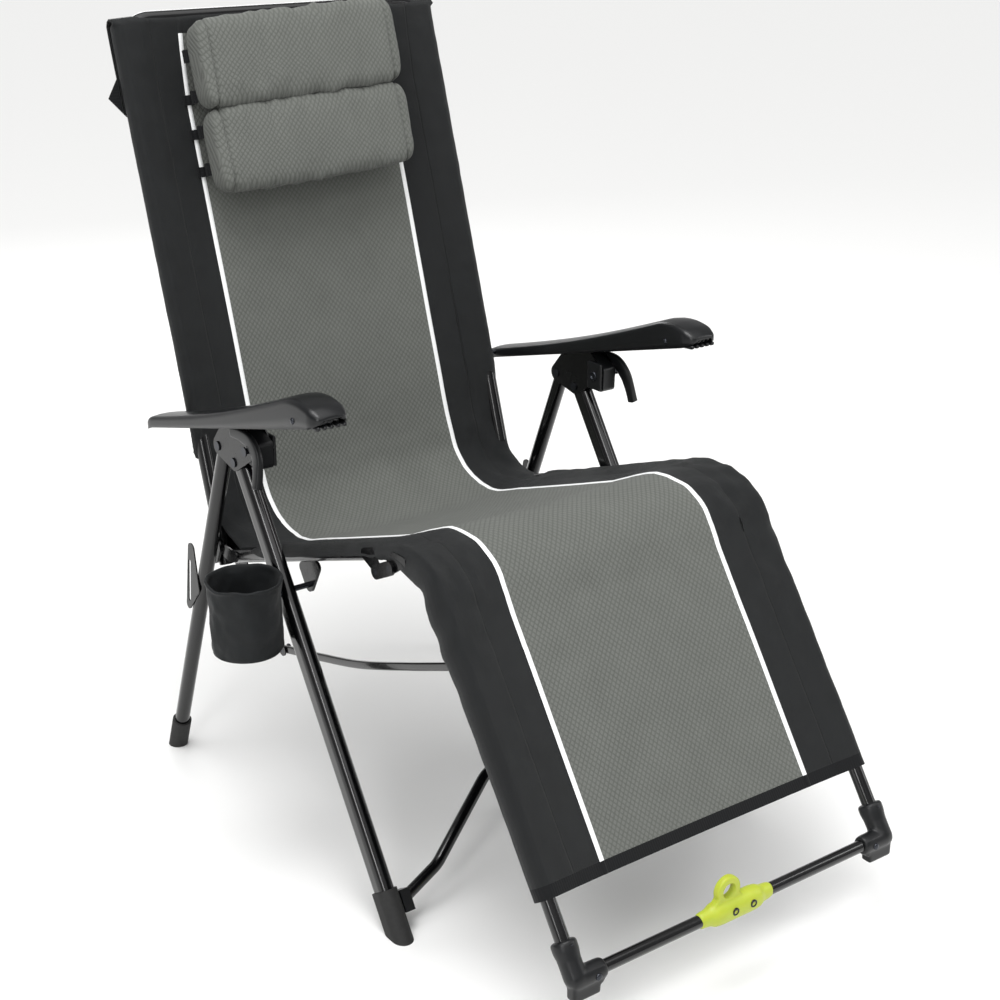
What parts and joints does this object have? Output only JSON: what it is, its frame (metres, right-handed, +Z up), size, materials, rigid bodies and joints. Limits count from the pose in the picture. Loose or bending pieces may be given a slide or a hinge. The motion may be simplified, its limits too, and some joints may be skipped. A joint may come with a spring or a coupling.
{
  "type": "zero gravity recliner",
  "caption": "Folding zero gravity camp recliner with a grey and black mesh sling, padded armrests, sliding head pillow and cup holder.",
  "frame": {"origin": "on the floor, on the chair's centre line, below the rivets that carry the front legs", "axes": "+Z up, -Y towards the foot bar, +X towards the sitter's left hand when seated; hinge axes all run along X"},
  "size_m": [0.7412, 1.0853, 1.1072],
  "materials": {
    "black_tube": "powder-coated steel tube",
    "black_plate": "powder-coated pressed steel",
    "black_plastic": "moulded",
    "grey_plastic": "moulded",
    "foot_rubber": "moulded",
    "rivet_steel": "zinc plated",
    "sling_fabric": "coated mesh",
    "dark_fabric": "woven polyester",
    "lime_plastic": "moulded"
  },
  "bodies": {
    "frame": {"front_leg_left": "black_tube", "front_leg_right": "black_tube", "front_foot_left": "foot_rubber", "front_foot_right": "foot_rubber", "front_cross_tube": "black_tube", "cross_tube_sockets": "grey_plastic", "seat_pivot_pins": "rivet_steel", "cup_holder": "dark_fabric", "cup_holder_ring": "rivet_steel", "cup_holder_strap": "dark_fabric"},
    "hubs": {"hub_plates_left": "black_plate", "hub_plates_right": "black_plate", "lock_block_left": "black_plastic", "lock_block_right": "black_plastic", "hub_rivets": "rivet_steel"},
    "rear_legs": {"rear_leg_left": "black_tube", "rear_leg_right": "black_tube", "rear_foot_left": "foot_rubber", "rear_foot_right": "foot_rubber", "rear_slot_plate_left": "black_plate", "rear_slot_plate_right": "black_plate"},
    "lever_left": {"recline_lever_left": "black_plastic"},
    "lever_right": {"recline_lever_right": "black_plastic"},
    "seat": {"seat_rail_left": "black_tube", "seat_rail_right": "black_tube", "seat_bracket_left": "black_plate", "seat_bracket_right": "black_plate", "seat_rail_ears": "black_plate", "seat_sling": "sling_fabric"},
    "back_hinges": {"back_hinge_plate_left": "black_plate", "back_hinge_plate_right": "black_plate", "back_hinge_pins": "rivet_steel"},
    "back": {"back_rail_left": "black_tube", "back_rail_right": "black_tube", "back_top_hoop": "black_tube", "back_crank_left": "black_plate", "back_crank_right": "black_plate", "back_sling": "sling_fabric", "pillow_webbing": "dark_fabric"},
    "link_clevis": {"link_pins": "rivet_steel"},
    "link_bars": {"link_bar_left": "black_plate", "link_bar_right": "black_plate"},
    "arm_pins": {"arm_pivot_pins": "rivet_steel"},
    "armrests": {"armrest_left": "black_plastic", "armrest_right": "black_plastic"},
    "pillow": {"pillow": "dark_fabric"},
    "knee_hinges": {"knee_hinge_plate_left": "black_plate", "knee_hinge_plate_right": "black_plate", "knee_pins": "rivet_steel"},
    "legrest": {"legrest_rail_left": "black_tube", "legrest_rail_right": "black_tube", "legrest_ears": "black_plate", "link_brackets": "black_plate", "legrest_corner_left": "grey_plastic", "legrest_corner_right": "grey_plastic", "foot_bar": "black_tube", "pull_tab": "lime_plastic", "pull_tab_screws": "rivet_steel", "legrest_sling": "sling_fabric"}
  },
  "joints": [
    {"name": "fold", "type": "hinge", "parent": "frame", "child": "seat", "pos_m": [0, -0.097, 0.4], "axis": [-1, 0, 0], "range_deg": [0, 85]},
    {"name": "hub_turn", "type": "hinge", "parent": "frame", "child": "hubs", "pos_m": [0, 0.01, 0.553], "axis": [-1, 0, 0], "range_deg": [0, 95.01]},
    {"name": "rear_leg_turn", "type": "hinge", "parent": "hubs", "child": "rear_legs", "pos_m": [0, 0.054, 0.5645], "axis": [1, 0, 0], "range_deg": [0, 45.01]},
    {"name": "back_fold", "type": "hinge", "parent": "seat", "child": "back_hinges", "pos_m": [0, 0.14036, 0.3793], "axis": [1, 0, 0], "range_deg": [0, 82.01]},
    {"name": "recline", "type": "hinge", "parent": "back_hinges", "child": "back", "pos_m": [0, 0.15, 0.36], "axis": [1, 0, 0], "range_deg": [-36, 0]},
    {"name": "knee_fold", "type": "hinge", "parent": "seat", "child": "knee_hinges", "pos_m": [0, -0.292, 0.49], "axis": [1, 0, 0], "range_deg": [0, 96.01]},
    {"name": "legrest_lift", "type": "hinge", "parent": "knee_hinges", "child": "legrest", "pos_m": [0, -0.322, 0.505], "axis": [1, 0, 0], "range_deg": [-36.01, 0]},
    {"name": "link_fold", "type": "hinge", "parent": "back", "child": "link_clevis", "pos_m": [0, 0.012, 0.256], "axis": [-1, 0, 0], "range_deg": [0, 80.78]},
    {"name": "link_swing", "type": "hinge", "parent": "link_clevis", "child": "link_bars", "pos_m": [0, 0.012, 0.256], "axis": [1, 0, 0], "range_deg": [0, 39.12]},
    {"name": "arm_fold", "type": "hinge", "parent": "back", "child": "arm_pins", "pos_m": [0, 0.212, 0.562], "axis": [-1, 0, 0], "range_deg": [0, 96.49]},
    {"name": "arm_swing", "type": "hinge", "parent": "arm_pins", "child": "armrests", "pos_m": [0, 0.212, 0.562], "axis": [1, 0, 0], "range_deg": [0, 21.39]},
    {"name": "lever_left", "type": "hinge", "parent": "hubs", "child": "lever_left", "pos_m": [0, -0.044, 0.586], "axis": [-1, 0, 0], "range_deg": [0, 20], "stiffness_Nm_per_rad": 0.5, "springref_deg": -17.19},
    {"name": "lever_right", "type": "hinge", "parent": "hubs", "child": "lever_right", "pos_m": [0, -0.044, 0.586], "axis": [-1, 0, 0], "range_deg": [0, 20], "stiffness_Nm_per_rad": 0.5, "springref_deg": -17.19},
    {"name": "pillow_slide", "type": "slide", "parent": "back", "child": "pillow", "axis": [0, 0.3007, 0.9537], "range_m": [-0.18, 0]}
  ],
  "couplings": [
    {"joint": "hub_turn", "follows": "fold", "ratio": 1.1176},
    {"joint": "rear_leg_turn", "follows": "fold", "ratio": 0.52941},
    {"joint": "back_fold", "follows": "fold", "ratio": 0.96471},
    {"joint": "knee_fold", "follows": "fold", "ratio": 1.1294},
    {"joint": "link_fold", "follows": "fold", "ratio": 0.95024},
    {"joint": "arm_fold", "follows": "fold", "ratio": 1.1351},
    {"joint": "legrest_lift", "follows": "recline", "ratio": 1},
    {"joint": "link_swing", "follows": "recline", "ratio": -1.0864},
    {"joint": "arm_swing", "follows": "recline", "ratio": -0.59389}
  ]
}
